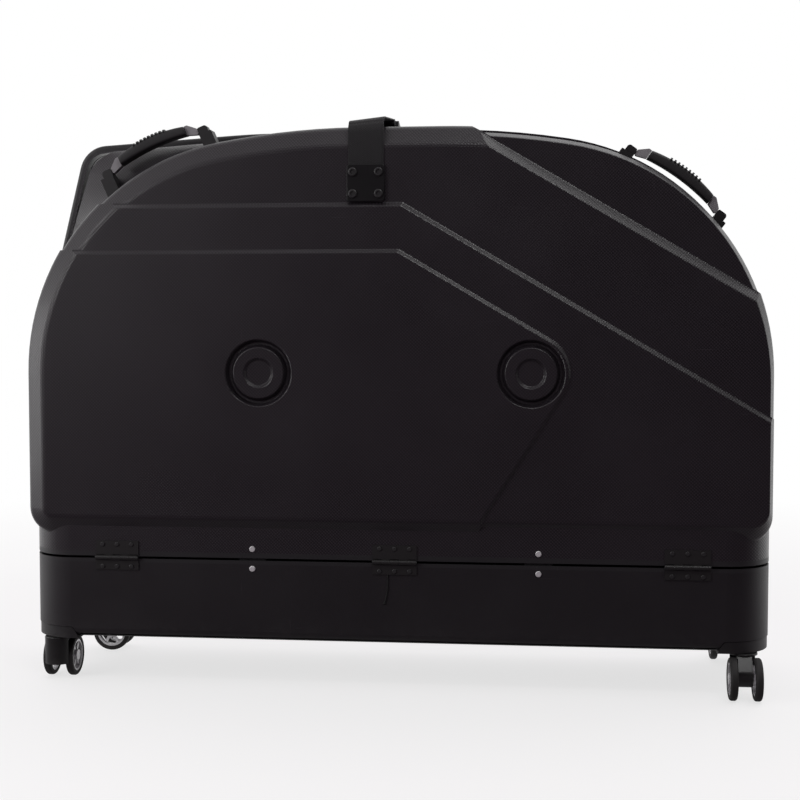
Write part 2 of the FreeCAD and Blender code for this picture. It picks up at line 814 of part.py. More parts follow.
def rear_strap_solid():
    y, z = buckle_place(socket_mouth - socket_size[1] - 2 * fit_gap, -strap_thickness / 2)
    path = [(y, z, 0), strap_top_edge + (strap_bend,), strap_front_edge + (strap_bend,),
            (strap_face, strap_low, 0)]
    return ribbon(path, strap_x, strap_width, strap_thickness)


strap_screw_places = []
for sx in (-0.5, 0.5):
    for sz in (-0.5, 0.5):
        strap_screw_places.append((strap_x + sx * strap_screw_pitch[0],
                                   strap_plate_z + sz * strap_screw_pitch[1]))


def strap_plate_solid():
    face = strap_face + strap_thickness
    side = strap_plate[0] / 2
    rise = strap_plate[1] / 2
    corners = []
    for sx, sz in ((-1, -1), (1, -1), (1, 1), (-1, 1)):
        corners.append((strap_x + sx * side, strap_plate_z + sz * rise, 4, 1))
    plate = across(corners, -face - strap_plate[2], -face)
    plate = plate.makeFillet(1, edges_at_depth(plate, -face - strap_plate[2]))
    return plate.cut(holes(strap_screw_places, plate_screw[2] + screw_hole_play))


# Tray
def tray_solid():
    outer = upward(plan_full, tray_bottom, tray_trim_bottom)
    low_edges = [edge for edge in outer.Edges if edge.BoundBox.ZMax < tray_bottom + 0.01]
    outer = outer.makeFillet(tray_edge_round, low_edges)
    space = upward(evenly(plan_full, wall), tray_bottom + wall, tray_trim_bottom + 1)
    corners = [(sx, sy) for sx in (-1, 1) for sy in (-1, 1)]
    space = space.cut([corner_block(sx, sy, wall) for sx, sy in corners])
    return outer.cut([space] + [corner_block(sx, sy, 0) for sx, sy in corners])


def web_strip_solid(x):
    rear = -waist_depth + wall + fit_gap
    strip = box((x - web_strip_width / 2, x + web_strip_width / 2), (rear, rear + web_thickness),
                (rivet_lower_z - 10, rivet_upper_z + 10))
    return strip.cut(holes([(x, rivet_lower_z), (x, rivet_upper_z)], rivet[2] + screw_hole_play))


rivet_grip = wall + fit_gap + web_thickness + 1
joint_x = [joint_run * (2 * i / (joint_count - 1) - 1) for i in range(joint_count)]
joint_upper_places = [(x, rivet_upper_z) for x in joint_x]
joint_lower_places = [(x, rivet_lower_z) for x in joint_x]
joint_places = joint_upper_places + joint_lower_places
upper_rivet_places = [(x, rivet_upper_z) for x in rivet_x]
lower_rivet_places = [(x, rivet_lower_z) for x in rivet_x]


def joint_strip_solid():
    rear = -waist_depth + wall
    end = joint_run + joint_margin[0]
    strip = box((-end, end), (rear, rear + web_thickness),
                (rivet_lower_z - joint_margin[1], rivet_upper_z + joint_margin[1]))
    return strip.cut(holes(joint_places, rivet[2] + screw_hole_play))


def fasteners(kind, places, face, grip, recess):
    pattern = screw(kind, grip, recess)
    return group([placed(pattern, x, -face, z) for x, z in places])


def tie_cord_solid():
    top = hinge_z - hinge_lower_reach
    y = -waist_depth - cord_standoff
    drop = cord_straight - cord_length
    start = vec(cord_x, y, top)
    bend = vec(cord_x, y, top - cord_straight)
    turn = polar(cord_bend, math.degrees(drop / cord_bend))
    half = polar(cord_bend, math.degrees(drop / cord_bend / 2))
    middle = vec(cord_x - cord_bend + half[0], y, bend.z + half[1])
    low = vec(cord_x - cord_bend + turn[0], y, bend.z + turn[1])
    path = Part.Wire([Part.makeLine(start, bend), Part.Arc(bend, middle, low).toShape()])
    ring = Part.Wire([Part.Circle(start, vec(0, 0, 1), cord_radius).toShape()])
    return path.makePipeShell([ring], True, False)


# The pieces
outside = shell_form(0, True)
plain = plain_shell(outside)
small_hole = small_screw[2] + screw_hole_play
plate_hole = plate_screw[2] + screw_hole_play
rivet_hole = rivet[2] + screw_hole_play
strap_holes = holes(strap_screw_places, plate_hole)
hinge_grip = hinge_leaf + wall + 3
strap_grip = strap_plate[2] + strap_thickness + wall + 3
liner_y = panel_depths[0] - wall - fit_gap
edging = rim_ring(0, edging_depth, -parting - edging_width, -parting, edging_round)
shell_trim = plan_ring(plan_half(parting), shell_bottom, shell_wall_bottom)
liner = across(evenly(arch_corners, liner_inset), -liner_y, liner_thickness - liner_y)
strap_plate_piece = strap_plate_solid()
strap_screws = fasteners(plate_screw, strap_screw_places,
                         strap_face + strap_thickness + strap_plate[2], strap_grip, 3.6)
pad_x = housing_inner_x - 3 * wall
pad_y = waist_depth - 2 * wall
pad_z = tray_bottom + wall + fit_gap
pad = box((-pad_x, pad_x), (-pad_y, pad_y), (pad_z, pad_z + pad_height))
pad_top_edges = [edge for edge in pad.Edges if edge.BoundBox.ZMin > pad_z + pad_height - 0.01]
rear_shell_holes = strap_holes + holes(joint_upper_places, rivet_hole)
tray_holes = holes(hinge_lower_places, small_hole) + holes(lower_rivet_places, rivet_hole)
tray_holes += [mirrored(hole) for hole in holes(joint_lower_places, rivet_hole)]
screw_face = waist_depth + hinge_leaf

pieces = {
    "front_shell": without(plain, holes(hinge_upper_places, small_hole) + strap_holes
                           + holes(upper_rivet_places, rivet_hole)),
    "rear_shell": mirrored(without(plain, rear_shell_holes)),
    "front_edging": edging,
    "rear_edging": mirrored(edging),
    "parting_seal": rim_ring(2, edging_depth - 2, fit_gap - parting, parting, 0),
    "front_shell_trim": shell_trim,
    "rear_shell_trim": mirrored(shell_trim),
    "base_tray": tray_solid().cut(tray_holes),
    "tray_trim": plan_ring(plan_full, tray_trim_bottom, tray_top),
    "tray_pad": pad.makeFillet(8, pad_top_edges),
    "front_liner": liner,
    "rear_liner": mirrored(liner),
    "hinge_upper_screws": fasteners(small_screw, hinge_upper_places, screw_face, hinge_grip, 0),
    "hinge_lower_screws": fasteners(small_screw, hinge_lower_places, screw_face, hinge_grip, 0),
    "upper_rivets": fasteners(rivet, upper_rivet_places, waist_depth, rivet_grip, 0),
    "lower_rivets": fasteners(rivet, lower_rivet_places, waist_depth, rivet_grip, 0),
    "rear_joint_strip": mirrored(joint_strip_solid()),
    "rear_joint_rivets": mirrored(fasteners(rivet, joint_places, waist_depth, rivet_grip, 0)),
    "front_strap": without(front_strap_solid(), strap_holes),
    "front_strap_plate": strap_plate_piece,
    "front_strap_screws": strap_screws,
    "rear_strap": without(rear_strap_solid(), [mirrored(hole) for hole in strap_holes]),
    "rear_strap_plate": mirrored(strap_plate_piece),
    "rear_strap_screws": mirrored(strap_screws),
    "buckle_socket": buckle_socket_solid(),
    "buckle_tongue": buckle_tongue_solid(),
    "tie_cord": tie_cord_solid()}

for name, x in zip(("left", "middle", "right"), hinge_x):
    upper_leaf = hinge_leaf_solid(x, 1, hinge_upper_reach, (1, 3), hinge_upper_places)
    lower_leaf = hinge_leaf_solid(x, -1, hinge_lower_reach, (0, 2, 4), hinge_lower_places)
    pieces["hinge_upper_leaf_" + name] = upper_leaf
    pieces["hinge_lower_leaf_" + name] = lower_leaf
    pieces["hinge_pin_" + name] = hinge_pin_solid(x)

for name, x in zip(("left", "right"), rivet_x):
    pieces["web_strip_" + name] = web_strip_solid(x)

for name, handle in (("left", handle_left), ("right", handle_right)):
    frame = handle_frame(handle)
    pieces["handle_grip_" + name] = handle_grip(frame)
    pieces["handle_ends_" + name] = group([handle_end(frame, side) for side in (-1, 1)])
    pieces["handle_brackets_" + name] = group([handle_bracket(frame, side, outside) for side in (-1, 1)])

fork = caster_fork_solid()
rims = caster_rims_solid()
tyres = caster_tyres_solid()
casters = (
    ("front_left", -1, -1, 90), ("front_right", 1, -1, 270),
    ("rear_left", -1, 1, 0), ("rear_right", 1, 1, 90))
for name, sign_x, sign_y, heading in casters:
    pieces["caster_housing_" + name] = caster_housing_solid(sign_x, sign_y)
    pieces["caster_fork_" + name] = at_caster(fork, sign_x, sign_y, heading)
    pieces["caster_rims_" + name] = at_caster(rims, sign_x, sign_y, heading)
    pieces["caster_tyres_" + name] = at_caster(tyres, sign_x, sign_y, heading)

os.makedirs("parts", exist_ok=True)
for name, shape in pieces.items():
    shape.exportStep("parts/" + name + ".step")
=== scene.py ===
import json
import math

import bpy
from mathutils import Matrix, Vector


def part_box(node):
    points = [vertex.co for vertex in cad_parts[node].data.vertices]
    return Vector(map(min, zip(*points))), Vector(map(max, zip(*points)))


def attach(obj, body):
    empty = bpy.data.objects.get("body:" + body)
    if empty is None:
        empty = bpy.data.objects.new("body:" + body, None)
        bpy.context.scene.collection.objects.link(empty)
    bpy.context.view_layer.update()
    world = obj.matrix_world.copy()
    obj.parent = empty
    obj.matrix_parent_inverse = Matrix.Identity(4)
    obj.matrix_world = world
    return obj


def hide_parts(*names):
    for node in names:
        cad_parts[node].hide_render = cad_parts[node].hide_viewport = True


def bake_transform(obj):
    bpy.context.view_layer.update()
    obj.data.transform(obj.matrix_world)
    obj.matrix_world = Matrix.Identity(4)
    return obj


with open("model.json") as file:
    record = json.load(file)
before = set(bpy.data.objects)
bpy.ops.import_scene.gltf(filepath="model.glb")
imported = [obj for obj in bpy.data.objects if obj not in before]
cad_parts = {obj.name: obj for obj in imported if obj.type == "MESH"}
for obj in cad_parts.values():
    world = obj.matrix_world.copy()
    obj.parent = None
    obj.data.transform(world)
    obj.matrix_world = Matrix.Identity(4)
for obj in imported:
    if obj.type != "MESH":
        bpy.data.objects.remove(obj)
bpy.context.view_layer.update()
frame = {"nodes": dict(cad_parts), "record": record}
nodes = frame["nodes"]
scene = bpy.context.scene
scene.view_settings.view_transform = "Standard"

# Camera at the photograph's place and lens
camera_data = bpy.data.cameras.new("camera")
camera_data.sensor_width = 36.0
camera_data.lens = 64.27
camera = bpy.data.objects.new("camera", camera_data)
camera.location = (0.2580, -2.3855, 0.5903)
camera.rotation_euler = (math.radians(86.873), 0, math.radians(6.158))
scene.collection.objects.link(camera)
scene.camera = camera


# Shader helpers
def add_node(tree, kind, **settings):
    node = tree.nodes.new(kind)
    for key, value in settings.items():
        setattr(node, key, value)
    return node


def feed(tree, socket, value):
    if isinstance(value, bpy.types.NodeSocket):
        tree.links.new(value, socket)
    else:
        socket.default_value = value


def math_node(tree, operation, a, b=None, c=None):
    node = add_node(tree, "ShaderNodeMath", operation=operation)
    for socket, value in zip(node.inputs, (a, b, c)):
        if value is not None:
            feed(tree, socket, value)
    return node.outputs[0]


def map_range(tree, value, low, high, to_low, to_high):
    node = add_node(tree, "ShaderNodeMapRange")
    for name, entry in (("Value", value), ("From Min", low), ("From Max", high),
                        ("To Min", to_low), ("To Max", to_high)):
        feed(tree, node.inputs[name], entry)
    return node.outputs[0]


def mix_value(tree, share, a, b):
    node = add_node(tree, "ShaderNodeMix", data_type="FLOAT")
    feed(tree, node.inputs[0], share)
    feed(tree, node.inputs[2], a)
    feed(tree, node.inputs[3], b)
    return node.outputs[0]


def mix_color(tree, share, a, b):
    node = add_node(tree, "ShaderNodeMix", data_type="RGBA")
    feed(tree, node.inputs[0], share)
    feed(tree, node.inputs[6], a)
    feed(tree, node.inputs[7], b)
    return node.outputs[2]


def noise(tree, vector, scale, detail=2.0, rough=0.5):
    node = add_node(tree, "ShaderNodeTexNoise")
    feed(tree, node.inputs["Vector"], vector)
    feed(tree, node.inputs["Scale"], scale)
    node.inputs["Detail"].default_value = detail
    node.inputs["Roughness"].default_value = rough
    return node.outputs[0]


def stretched(tree, vector, scale):
    node = add_node(tree, "ShaderNodeMapping")
    feed(tree, node.inputs["Vector"], vector)
    node.inputs["Scale"].default_value = scale
    return node.outputs[0]


def split(tree, vector):
    node = add_node(tree, "ShaderNodeSeparateXYZ")
    feed(tree, node.inputs[0], vector)
    return node.outputs


def new_group(name, inputs, outputs):
    group = bpy.data.node_groups.new(name, "ShaderNodeTree")
    for label, kind in inputs:
        group.interface.new_socket(name=label, in_out="INPUT", socket_type=kind)
    for label, kind in outputs:
        group.interface.new_socket(name=label, in_out="OUTPUT", socket_type=kind)
    entry = group.nodes.new("NodeGroupInput")
    leave = group.nodes.new("NodeGroupOutput")
    return group, entry.outputs, leave.inputs


def use_group(tree, group, **values):
    node = add_node(tree, "ShaderNodeGroup", node_tree=group)
    for key, value in values.items():
        feed(tree, node.inputs[key], value)
    return node.outputs


VALUE = "NodeSocketFloat"
VECTOR = "NodeSocketVector"


# Diamond emboss of the shell sheet, laid on whichever side the surface faces
def make_diamond_emboss():
    tree, entry, leave = new_group(
        "diamond_emboss", [("Position", VECTOR), ("Facing", VECTOR), ("Pitch", VALUE)], [("Height", VALUE)])
    x, y, z = split(tree, entry["Position"])
    nx, ny, nz = split(tree, entry["Facing"])
    end_on = map_range(tree, math_node(tree, "ABSOLUTE", nx), 0.70, 0.72, 0.0, 1.0)
    top_on = map_range(tree, math_node(tree, "ABSOLUTE", nz), 0.70, 0.72, 0.0, 1.0)
    a = mix_value(tree, end_on, x, y)
    b = mix_value(tree, top_on, z, y)
    turn = math_node(tree, "DIVIDE", math.pi, entry["Pitch"])
    rise = math_node(tree, "SINE", math_node(tree, "MULTIPLY", math_node(tree, "ADD", a, b), turn))
    fall = math_node(tree, "SINE", math_node(tree, "MULTIPLY", math_node(tree, "SUBTRACT", a, b), turn))
    product = math_node(tree, "MULTIPLY", math_node(tree, "ABSOLUTE", rise), math_node(tree, "ABSOLUTE", fall))
    feed(tree, leave["Height"], product)
    return tree


# Pebble grain of moulded plastic
def make_moulded_grain():
    tree, entry, leave = new_group(
        "moulded_grain", [("Position", VECTOR), ("Scale", VALUE)], [("Height", VALUE)])
    coarse = noise(tree, entry["Position"], entry["Scale"], 3.0, 0.6)
    fine = noise(tree, entry["Position"], math_node(tree, "MULTIPLY", entry["Scale"], 3.1), 1.0)
    feed(tree, leave["Height"], math_node(tree, "ADD", coarse, math_node(tree, "MULTIPLY", fine, 0.4)))
    return tree


# Handling marks: soft smears and thin scuffs
def make_handling_marks():
    tree, entry, leave = new_group(
        "handling_marks", [("Position", VECTOR), ("Amount", VALUE)], [("Smear", VALUE), ("Scuff", VALUE)])
    cloud = noise(tree, entry["Position"], 4.5, 4.0, 0.6)
    smear = map_range(tree, cloud, 0.35, 0.70, 0.0, 1.0)
    across = noise(tree, stretched(tree, entry["Position"], (9.0, 9.0, 260.0)), 1.0, 3.0, 0.65)
    down = noise(tree, stretched(tree, entry["Position"], (210.0, 210.0, 12.0)), 1.0, 3.0, 0.65)
    lines = math_node(tree, "MAXIMUM", map_range(tree, across, 0.68, 0.74, 0.0, 1.0),
                      map_range(tree, down, 0.69, 0.75, 0.0, 1.0))
    patch = map_range(tree, noise(tree, entry["Position"], 7.0, 2.0), 0.52, 0.66, 0.0, 1.0)
    scuff = math_node(tree, "MULTIPLY", math_node(tree, "MULTIPLY", lines, patch), entry["Amount"])
    feed(tree, leave["Smear"], smear)
    feed(tree, leave["Scuff"], scuff)
    return tree


# Floor dust that gathers low down
def make_low_dust():
    tree, entry, leave = new_group(
        "low_dust", [("Position", VECTOR), ("Top", VALUE)], [("Dust", VALUE)])
    height = split(tree, entry["Position"])[2]
    low = map_range(tree, height, 0.0, entry["Top"], 1.0, 0.0)
    speck = map_range(tree, noise(tree, entry["Position"], 55.0, 5.0, 0.7), 0.45, 0.75, 0.0, 1.0)
    feed(tree, leave["Dust"], math_node(tree, "MULTIPLY", low, speck))
    return tree


diamond_emboss = make_diamond_emboss()
moulded_grain = make_moulded_grain()
handling_marks = make_handling_marks()
low_dust = make_low_dust()


def start_material(name):
    material = bpy.data.materials.new(name)
    material.use_nodes = True
    tree = material.node_tree
    shader = tree.nodes["Principled BSDF"]
    coordinates = add_node(tree, "ShaderNodeTexCoord")
    return material, tree, shader, coordinates.outputs


def set_bump(tree, shader, height, depth):
    bump = add_node(tree, "ShaderNodeBump")
    bump.inputs["Strength"].default_value = 1.0
    bump.inputs["Distance"].default_value = depth
    feed(tree, bump.inputs["Height"], height)
    feed(tree, shader.inputs["Normal"], bump.outputs[0])


def tinted(color, factor):
    return tuple(channel * factor for channel in color[:3]) + (1.0,)


# Thermoformed black sheet with its diamond emboss; the emboss is also painted into the colour, painted shade
# in its hollows and painted light on its raised diamonds
def shell_sheet():
    material, tree, shader, where = start_material("shell_sheet")
    color = (0.0170, 0.0136, 0.0172, 1.0)
    marks = use_group(tree, handling_marks, Position=where["Object"], Amount=0.6)
    emboss = use_group(tree, diamond_emboss, Position=where["Object"], Facing=where["Normal"],
                       Pitch=0.0052)
    grain = use_group(tree, moulded_grain, Position=where["Object"], Scale=900.0)
    # Painted shade and light: emboss hollows darkened to a fifth, raised diamonds lightened to twice the
    # sheet's black
    raised = mix_color(tree, emboss["Height"], tinted(color, 0.20), tinted(color, 2.10))
    shade = mix_color(tree, math_node(tree, "MULTIPLY", marks["Smear"], 0.35), raised, tinted(color, 1.5))
    feed(tree, shader.inputs["Base Color"], mix_color(tree, marks["Scuff"], shade, tinted(color, 3.0)))
    rough = map_range(tree, marks["Smear"], 0.0, 1.0, 0.32, 0.40)
    shader.inputs["Coat Weight"].default_value = 0.14
    shader.inputs["Coat Roughness"].default_value = 0.16
    feed(tree, shader.inputs["Roughness"], math_node(tree, "ADD", rough,
                                                     math_node(tree, "MULTIPLY", marks["Scuff"], 0.2)))
    height = math_node(tree, "ADD", emboss["Height"], math_node(tree, "MULTIPLY", grain["Height"], 0.18))
    set_bump(tree, shader, height, 0.00022)
    return material


# Moulded black plastic of the given grain
def moulded_plastic(name, color, rough, grain_scale, grain_depth, scuffs, dust_top):
    material, tree, shader, where = start_material(name)
    marks = use_group(tree, handling_marks, Position=where["Object"], Amount=scuffs)
    grain = use_group(tree, moulded_grain, Position=where["Object"], Scale=grain_scale)
    dust = use_group(tree, low_dust, Position=where["Object"], Top=dust_top)
    shade = mix_color(tree, math_node(tree, "MULTIPLY", marks["Smear"], 0.4), color, tinted(color, 1.5))
    worn = mix_color(tree, marks["Scuff"], shade, tinted(color, 4.0))
    feed(tree, shader.inputs["Base Color"],
         mix_color(tree, math_node(tree, "MULTIPLY", dust["Dust"], 0.25), worn, (0.16, 0.15, 0.14, 1.0)))
    base = map_range(tree, marks["Smear"], 0.0, 1.0, rough, rough + 0.1)
    feed(tree, shader.inputs["Roughness"],
         math_node(tree, "ADD", base, math_node(tree, "MULTIPLY", dust["Dust"], 0.25)))
    set_bump(tree, shader, grain["Height"], grain_depth)
    return material


# Metal with fine polishing lines, optionally coated
def finished_metal(name, color, rough, metallic, line_scale, line_depth, scuffs, bare):
    material, tree, shader, where = start_material(name)
    marks = use_group(tree, handling_marks, Position=where["Object"], Amount=scuffs)
    lines = noise(tree, stretched(tree, where["Object"], line_scale), 1.0, 3.0, 0.6)
    tone = mix_color(tree, map_range(tree, lines, 0.3, 0.7, 0.0, 0.35), color, tinted(color, 0.78))
    feed(tree, shader.inputs["Base Color"], mix_color(tree, marks["Scuff"], tone, bare))
    shader.inputs["Metallic"].default_value = metallic
    base = map_range(tree, lines, 0.3, 0.7, rough, rough + 0.12)
    feed(tree, shader.inputs["Roughness"],
         math_node(tree, "ADD", base, math_node(tree, "MULTIPLY", marks["Smear"], 0.08)))
    set_bump(tree, shader, lines, line_depth)
    return material


BARE_STEEL = (0.42, 0.42, 0.43, 1.0)
finishes = {
    "shell": shell_sheet(),
    "tray": moulded_plastic("tray_plastic", (0.0120, 0.0100, 0.0120, 1), 0.42, 700.0, 0.00020, 0.7, 0.11),
    "edging": moulded_plastic("edge_moulding", (0.0140, 0.0130, 0.0145, 1), 0.40, 1500.0, 0.00006, 0.8, 0.01),
    "seal": moulded_plastic("seal_rubber", (0.010, 0.010, 0.010, 1), 0.70, 1200.0, 0.00010, 0.2, 0.01),
    "trim": finished_metal("trim_channel", (0.020, 0.019, 0.021, 1), 0.38, 0.0, (3.0, 3.0, 900.0), 0.00004,
                           0.5, (0.10, 0.10, 0.10, 1)),
    "liner": moulded_plastic("liner_cloth_base", (0.050, 0.050, 0.055, 1), 0.85, 900.0, 0.0002, 0.1, 0.01),
    "pad": moulded_plastic("pad_cloth_base", (0.055, 0.055, 0.060, 1), 0.85, 900.0, 0.0002, 0.1, 0.01),
    "hinge_metal": finished_metal("hinge_coating", (0.016, 0.015, 0.015, 1), 0.36, 0.0, (500.0, 500.0, 500.0),
                                  0.00006, 1.0, (0.20, 0.19, 0.18, 1)),
    "pin_steel": finished_metal("pin_steel", BARE_STEEL, 0.30, 1.0, (40.0, 1500.0, 1500.0), 0.00003, 0.3,
                                (0.3, 0.3, 0.3, 1)),
    "screw_metal": finished_metal("screw_coating", (0.028, 0.027, 0.028, 1), 0.32, 0.0, (900.0, 900.0, 900.0),
                                  0.00005, 1.0, (0.22, 0.22, 0.22, 1)),
    # Rivets: partly aluminium, partly painted reflection; metallic only 0.35, so the near-white base shows as
    # a diffuse painted glint
    "rivet_metal": finished_metal("rivet_aluminium_painted_glint", (0.90, 0.89, 0.90, 1), 0.28, 0.35, (900.0, 900.0, 900.0),
                                  0.00003, 0.4, (0.6, 0.6, 0.6, 1)),
    "joint_strip": finished_metal("joint_strip_aluminium", (0.60, 0.60, 0.61, 1), 0.36, 1.0,
                                  (6.0, 900.0, 900.0), 0.00003, 0.5, (0.45, 0.45, 0.45, 1)),
    "webbing": moulded_plastic("webbing_base", (0.012, 0.012, 0.013, 1), 0.8, 900.0, 0.0002, 0.1, 0.01),
    "grip": moulded_plastic("grip_rubber", (0.016, 0.015, 0.016, 1), 0.50, 1100.0, 0.00012, 0.8, 0.01),
    "handle_end": moulded_plastic("handle_end_plastic", (0.30, 0.29, 0.30, 1), 0.24, 1300.0, 0.00005,
                                  0.5, 0.01),
    "bracket": moulded_plastic("bracket_plastic", (0.012, 0.011, 0.012, 1), 0.42, 900.0, 0.00010, 0.6, 0.01),
    "strap_plate": finished_metal("strap_plate_coating", (0.0030, 0.0028, 0.0034, 1), 0.27, 0.0,
                                  (700.0, 700.0, 700.0), 0.00005, 0.8, (0.10, 0.10, 0.10, 1)),
    "buckle": moulded_plastic("buckle_plastic", (0.010, 0.010, 0.011, 1), 0.28, 1300.0, 0.00005, 0.6, 0.01),
    "cord": moulded_plastic("cord_base", (0.010, 0.010, 0.010, 1), 0.8, 2000.0, 0.0001, 0.0, 0.01),
    "housing": moulded_plastic("housing_plastic", (0.012, 0.011, 0.012, 1), 0.40, 900.0, 0.00012, 0.8, 0.11),
    "fork": moulded_plastic("fork_plastic", (0.011, 0.011, 0.011, 1), 0.30, 1200.0, 0.00006, 0.8, 0.06),
    # Wheel rims: partly chrome plating, partly painted reflection; metallic only 0.55, so the near-white base
    # shows as diffuse painted brightness
    "wheel_rim": finished_metal("rim_plating_painted_reflection", (0.86, 0.86, 0.87, 1), 0.20, 0.55, (400.0, 400.0, 400.0),
                                0.00002, 0.4, (0.55, 0.55, 0.55, 1)),
    "wheel_tyre": moulded_plastic("tyre_rubber", (0.014, 0.013, 0.013, 1), 0.62, 900.0, 0.00012, 0.6, 0.05),
}

slot_of = {entry["node"]: entry["material_slot"] for entry in frame["record"]["subparts"]}
for name, node in nodes.items():
    node.data.materials.clear()
    node.data.materials.append(finishes[slot_of[name]])


# Woven webbing: rows across the strap, picks along it; the weave relief is also painted into the colour as
# painted shade between the yarns and painted light on their crests
def webbing_material():
    material, tree, shader, where = start_material("webbing_cloth")
    along = add_node(tree, "ShaderNodeAttribute", attribute_name="along").outputs["Fac"]
    across = split(tree, where["Object"])[0]
    row = math_node(tree, "DIVIDE", across, 0.0022)
    step = math_node(tree, "MULTIPLY", math_node(tree, "FLOOR", row), 0.5)
    pick = math_node(tree, "ADD", math_node(tree, "DIVIDE", along, 0.0030), step)
    crest = math_node(tree, "ABSOLUTE", math_node(tree, "SINE", math_node(tree, "MULTIPLY", pick, math.pi)))
    ridge = math_node(tree, "ABSOLUTE", math_node(tree, "SINE", math_node(tree, "MULTIPLY", row, math.pi)))
    yarn = math_node(tree, "MULTIPLY", crest, ridge)
    fuzz = noise(tree, where["Object"], 1800.0, 3.0, 0.7)
    color = (0.0130, 0.0120, 0.0135, 1)
    # Painted shade and highlight: yarn crests lighter and gaps between yarns darker, following the weave
    # relief, broken up by random fuzz
    feed(tree, shader.inputs["Base Color"],
         mix_color(tree, math_node(tree, "MULTIPLY", yarn, fuzz), tinted(color, 0.6), tinted(color, 2.4)))
    feed(tree, shader.inputs["Roughness"], map_range(tree, fuzz, 0.3, 0.7, 0.68, 0.86))
    shader.inputs["Sheen Weight"].default_value = 0.06
    shader.inputs["Sheen Roughness"].default_value = 0.5
    set_bump(tree, shader, math_node(tree, "ADD", yarn, math_node(tree, "MULTIPLY", fuzz, 0.3)), 0.00035)
    return material


# Plain woven lining cloth over foam, with random tone patches; its raised weave is painted lighter than its
# hollows, as painted light and shade of the weave
def padding_material():
    material, tree, shader, where = start_material("padding_cloth")
    weave = use_group(tree, diamond_emboss, Position=where["Object"], Facing=where["Normal"], Pitch=0.0018)
    cloud = noise(tree, where["Object"], 14.0, 4.0, 0.6)
    fuzz = noise(tree, where["Object"], 1500.0, 2.0, 0.7)
    color = (0.055, 0.055, 0.060, 1)
    tone = mix_color(tree, map_range(tree, cloud, 0.3, 0.7, 0.0, 1.0), tinted(color, 0.8), tinted(color, 1.2))
    # Painted light and shade: raised weave lightened towards 1.7 times the cloth tone, hollows left darker
    feed(tree, shader.inputs["Base Color"],
         mix_color(tree, math_node(tree, "MULTIPLY", weave["Height"], fuzz), tone, tinted(color, 1.7)))
    feed(tree, shader.inputs["Roughness"], map_range(tree, fuzz, 0.3, 0.7, 0.75, 0.92))
    shader.inputs["Sheen Weight"].default_value = 0.2
    shader.inputs["Sheen Roughness"].default_value = 0.6
    height = math_node(tree, "ADD", weave["Height"], math_node(tree, "MULTIPLY", fuzz, 0.4))
    set_bump(tree, shader, height, 0.0003)
    return material


# Thin twisted cord; its twist is painted into the colour as painted shade between the strands and painted
# light on their crests
def cord_material():
    material, tree, shader, where = start_material("cord_fibre")
    x, y, z = split(tree, where["Object"])
    lay = math_node(tree, "ADD", math_node(tree, "MULTIPLY", z, 2600.0),
                    math_node(tree, "MULTIPLY", x, 1800.0))
    strand = math_node(tree, "ABSOLUTE", math_node(tree, "SINE", lay))
    color = (0.007, 0.007, 0.007, 1)
    # Painted shade and light: strand crests lighter, grooves between strands darker
    feed(tree, shader.inputs["Base Color"], mix_color(tree, strand, tinted(color, 0.5), tinted(color, 1.8)))
    fuzz = noise(tree, where["Object"], 2000.0)
    feed(tree, shader.inputs["Roughness"], map_range(tree, fuzz, 0.3, 0.7, 0.7, 0.9))
    set_bump(tree, shader, strand, 0.0002)
    return material


webbing_cloth = webbing_material()
padding_cloth = padding_material()
cord_fibre = cord_material()


# Modelling helpers
def start_piece(name, add_primitive, **settings):
    bpy.ops.object.select_all(action="DESELECT")
    add_primitive(**settings)
    piece = bpy.context.active_object
    piece.name = name
    piece.data.name = name
    bpy.ops.object.transform_apply(location=True, rotation=True, scale=True)
    return piece


def in_edit(mode):
    bpy.ops.object.mode_set(mode="EDIT")
    bpy.ops.mesh.select_mode(type=mode)
    bpy.ops.mesh.select_all(action="DESELECT")
    bpy.ops.object.mode_set(mode="OBJECT")


def pick_edges(piece, wanted):
    in_edit("EDGE")
    points = piece.data.vertices
    for edge in piece.data.edges:
        a, b = (points[i].co for i in edge.vertices)
        edge.select = wanted(a, b)
    bpy.ops.object.mode_set(mode="EDIT")


def pick_faces(piece, wanted):
    in_edit("FACE")
    for face in piece.data.polygons:
        face.select = wanted(face.center, face.normal)
    bpy.ops.object.mode_set(mode="EDIT")


def apply_modifier(piece, name, kind, **settings):
    modifier = piece.modifiers.new(name, kind)
    for key, value in settings.items():
        setattr(modifier, key, value)
    bpy.context.view_layer.objects.active = piece
    bpy.ops.object.modifier_apply(modifier=name)


def smooth(piece, degrees):
    bpy.ops.object.select_all(action="DESELECT")
    piece.select_set(True)
    bpy.context.view_layer.objects.active = piece
    bpy.ops.object.shade_smooth_by_angle(angle=math.radians(degrees))


def outward(piece):
    bpy.context.view_layer.objects.active = piece
    bpy.ops.object.mode_set(mode="EDIT")
    bpy.ops.mesh.select_all(action="SELECT")
    bpy.ops.mesh.normals_make_consistent(inside=False)
    bpy.ops.object.mode_set(mode="OBJECT")


def measured_along(path, y, z):
    best = None
    run = 0.0
    for (y0, z0), (y1, z1) in zip(path, path[1:]):
        length = math.hypot(y1 - y0, z1 - z0)
        share = ((y - y0) * (y1 - y0) + (z - z0) * (z1 - z0)) / length ** 2
        share = min(max(share, 0.0), 1.0)
        gap = math.hypot(y - y0 - share * (y1 - y0), z - z0 - share * (z1 - z0))
        if best is None or gap < best[0]:
            best = (gap, run + share * length)
        run += length
    return best[1]


WEBBING_ROUND = 0.0006


